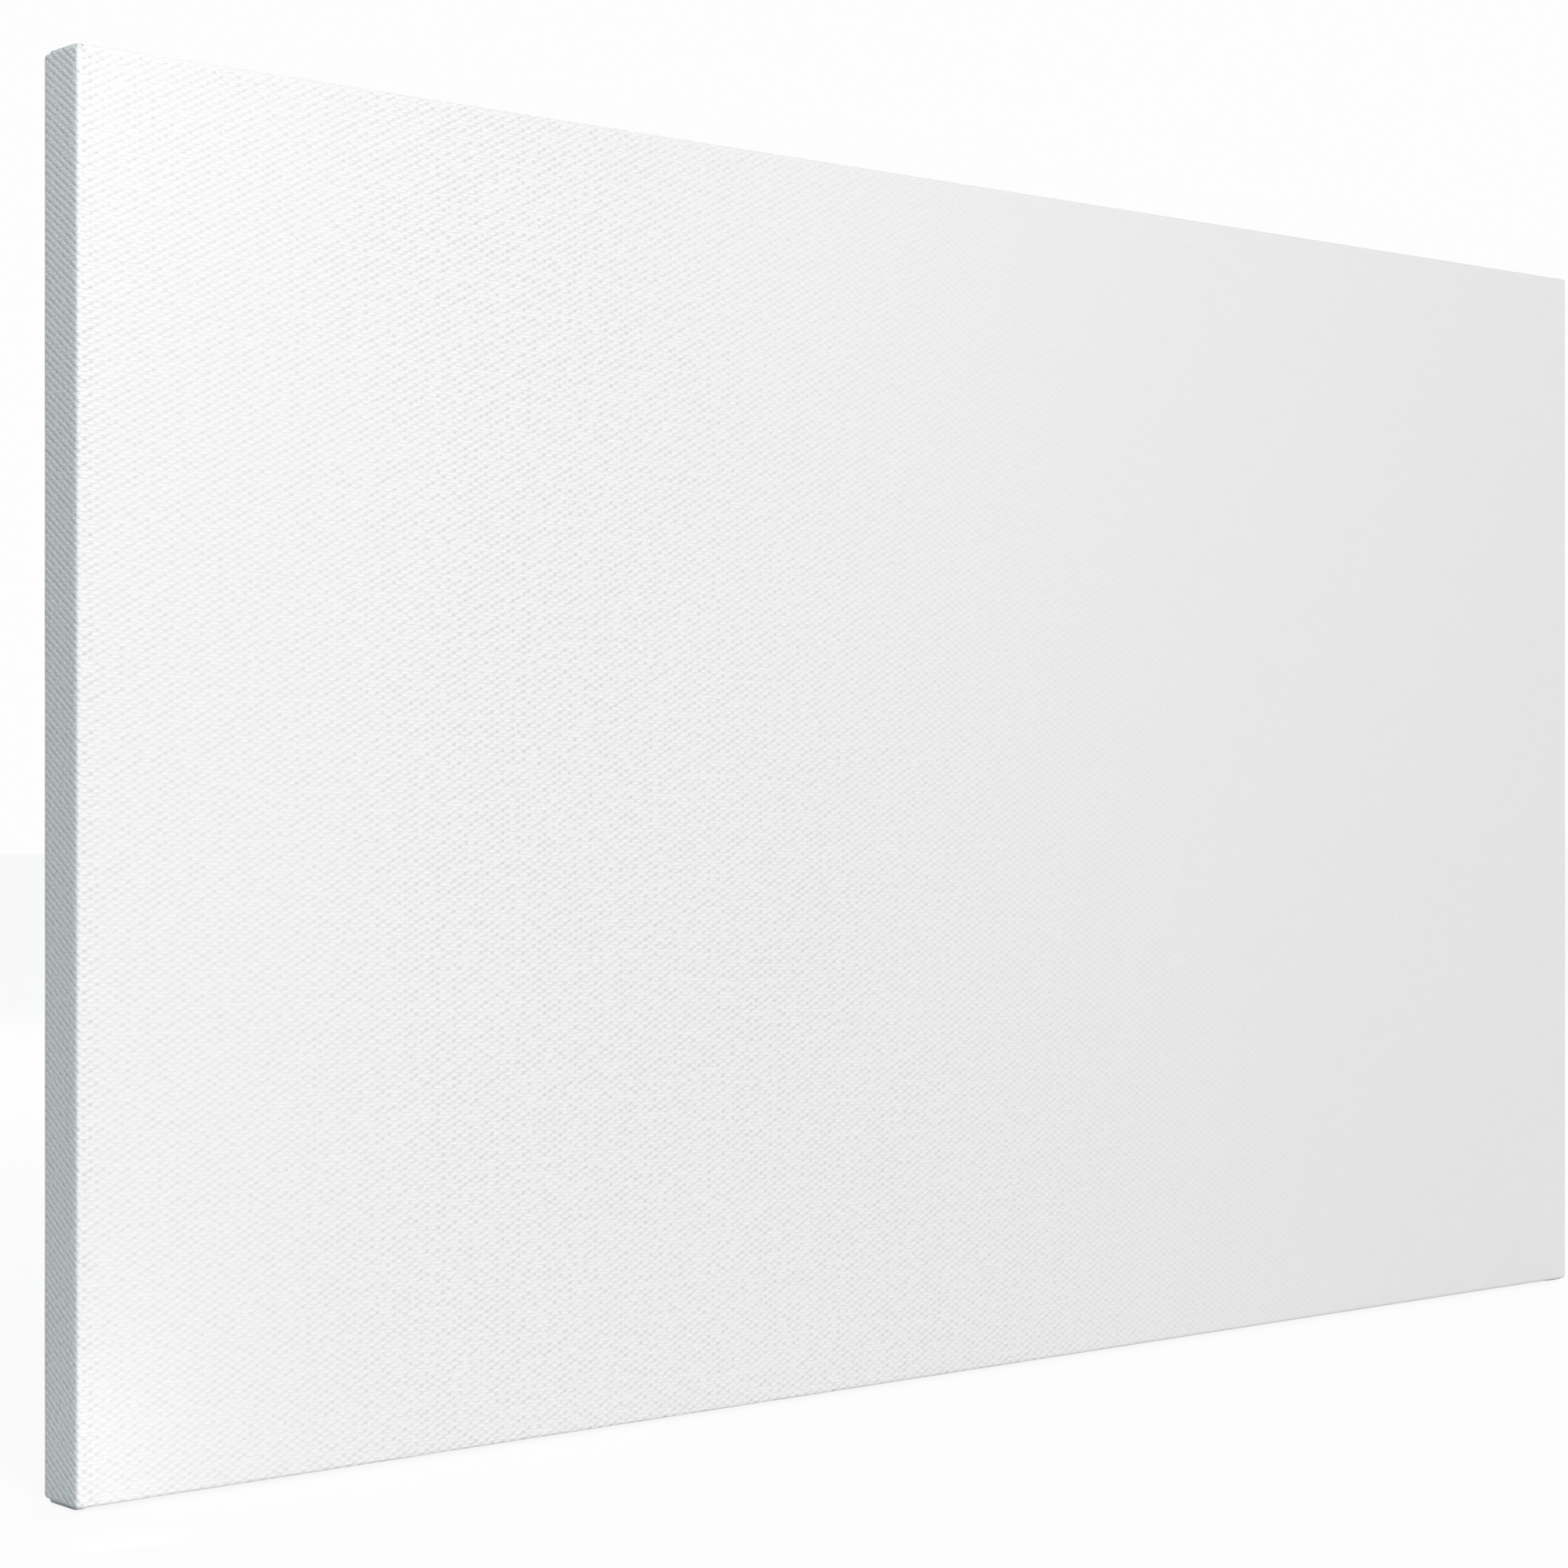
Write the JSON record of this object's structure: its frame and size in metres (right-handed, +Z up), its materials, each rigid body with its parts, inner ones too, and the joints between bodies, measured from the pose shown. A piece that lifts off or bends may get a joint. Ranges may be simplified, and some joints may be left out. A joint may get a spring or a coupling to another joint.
{
  "type": "stretched canvas",
  "caption": "Wide blank primed canvas stretched over a keyed wooden stretcher frame, wrapped round its sides and stapled at the back.",
  "frame": {"origin": "middle of the box's underside: halfway along the width and the depth, where the canvas stands on its bottom edge", "axes": "+X along the width, to the right of someone who looks at the painting face; +Y from the painting face to the back; +Z up"},
  "size_m": [0.509, 0.0154, 0.3078],
  "materials": {
    "canvas": "primed matt white",
    "bar_wood": "planed, bare",
    "key_wood": "sawn, bare",
    "staple_wire": "galvanised"
  },
  "bodies": {
    "stretcher": {"canvas": "canvas", "bottom_bar": "bar_wood", "right_bar": "bar_wood", "top_bar": "bar_wood", "left_bar": "bar_wood", "staples_bottom": "staple_wire", "staples_right": "staple_wire", "staples_top": "staple_wire", "staples_left": "staple_wire"},
    "key_bottom_bar_left": {"key_bottom_bar_left": "key_wood"},
    "key_bottom_bar_right": {"key_bottom_bar_right": "key_wood"},
    "key_right_bar_lower": {"key_right_bar_lower": "key_wood"},
    "key_right_bar_upper": {"key_right_bar_upper": "key_wood"},
    "key_top_bar_right": {"key_top_bar_right": "key_wood"},
    "key_top_bar_left": {"key_top_bar_left": "key_wood"},
    "key_left_bar_upper": {"key_left_bar_upper": "key_wood"},
    "key_left_bar_lower": {"key_left_bar_lower": "key_wood"}
  },
  "joints": [
    {"name": "key_bottom_bar_left_slide", "type": "slide", "parent": "stretcher", "child": "key_bottom_bar_left", "axis": [0, 0, 1], "range_m": [0, 0.021]},
    {"name": "key_bottom_bar_right_slide", "type": "slide", "parent": "stretcher", "child": "key_bottom_bar_right", "axis": [0, 0, 1], "range_m": [0, 0.021]},
    {"name": "key_right_bar_lower_slide", "type": "slide", "parent": "stretcher", "child": "key_right_bar_lower", "axis": [-1, 0, 0], "range_m": [0, 0.021]},
    {"name": "key_right_bar_upper_slide", "type": "slide", "parent": "stretcher", "child": "key_right_bar_upper", "axis": [-1, 0, 0], "range_m": [0, 0.021]},
    {"name": "key_top_bar_right_slide", "type": "slide", "parent": "stretcher", "child": "key_top_bar_right", "axis": [0, 0, -1], "range_m": [0, 0.021]},
    {"name": "key_top_bar_left_slide", "type": "slide", "parent": "stretcher", "child": "key_top_bar_left", "axis": [0, 0, -1], "range_m": [0, 0.021]},
    {"name": "key_left_bar_upper_slide", "type": "slide", "parent": "stretcher", "child": "key_left_bar_upper", "axis": [1, 0, 0], "range_m": [0, 0.021]},
    {"name": "key_left_bar_lower_slide", "type": "slide", "parent": "stretcher", "child": "key_left_bar_lower", "axis": [1, 0, 0], "range_m": [0, 0.021]}
  ]
}
